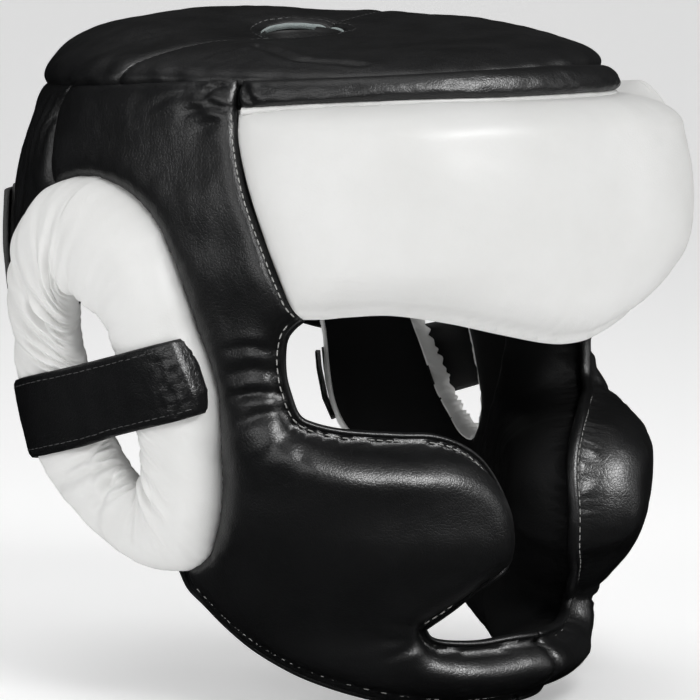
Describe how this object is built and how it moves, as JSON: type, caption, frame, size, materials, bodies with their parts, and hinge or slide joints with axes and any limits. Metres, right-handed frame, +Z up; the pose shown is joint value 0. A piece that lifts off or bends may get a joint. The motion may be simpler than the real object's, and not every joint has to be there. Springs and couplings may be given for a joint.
{
  "type": "boxing headgear",
  "caption": "Full-face padded leather boxing headgear with closed crown, cheek pads, chin bar, oval ear rings crossed by straps, and a peel-open closure flap at the back.",
  "frame": {"origin": "the middle of the head cavity, half way between the two ear openings and directly below the hole in the crown", "axes": "+Z up through the crown; the face looks towards -Y; +X is the wearer's left, so the two sides mirror each other across X=0"},
  "size_m": [0.2322, 0.2617, 0.256],
  "materials": {
    "black_leather": "semi-gloss grained",
    "white_leather": "satin, smooth",
    "lining_leather": "soft matt",
    "strap_leather": "semi-gloss grained",
    "foam": "matt closed-cell foam",
    "hook_tape": "hook tape",
    "loop_tape": "brushed loop tape",
    "elastic_webbing": "ribbed elastic"
  },
  "bodies": {
    "shell": {"forehead_cover": "white_leather", "forehead_padding": "foam", "forehead_lining": "lining_leather", "brow_roll_cover": "black_leather", "brow_roll_core": "foam", "right_side_cover": "black_leather", "right_side_lining": "lining_leather", "right_temple_padding": "foam", "right_cheek_padding": "foam", "right_back_cover": "black_leather", "right_back_padding": "foam", "right_back_lining": "lining_leather", "right_ear_ring_cover": "white_leather", "right_ear_ring_lining": "lining_leather", "right_ear_ring_padding": "foam", "right_ear_strap": "strap_leather", "left_side_cover": "black_leather", "left_side_lining": "lining_leather", "left_temple_padding": "foam", "left_cheek_padding": "foam", "left_back_cover": "black_leather", "left_back_padding": "foam", "left_back_lining": "lining_leather", "left_ear_ring_cover": "white_leather", "left_ear_ring_lining": "lining_leather", "left_ear_ring_padding": "foam", "left_ear_strap": "strap_leather", "chin_padding": "foam", "crown_front_cover": "black_leather", "crown_rear_cover": "black_leather", "crown_padding": "foam", "crown_lining": "lining_leather", "closure_loop_patch": "loop_tape", "closure_root_patch": "strap_leather", "closure_elastic": "elastic_webbing"},
    "flap": {"closure_flap": "strap_leather", "closure_hook_patch": "hook_tape"}
  },
  "joints": [
    {"name": "closure_flap_peel", "type": "hinge", "parent": "shell", "child": "flap", "pos_m": [-0.0606, 0.09696, 0.039], "axis": [0, 0, 1], "range_deg": [0, 110]}
  ]
}
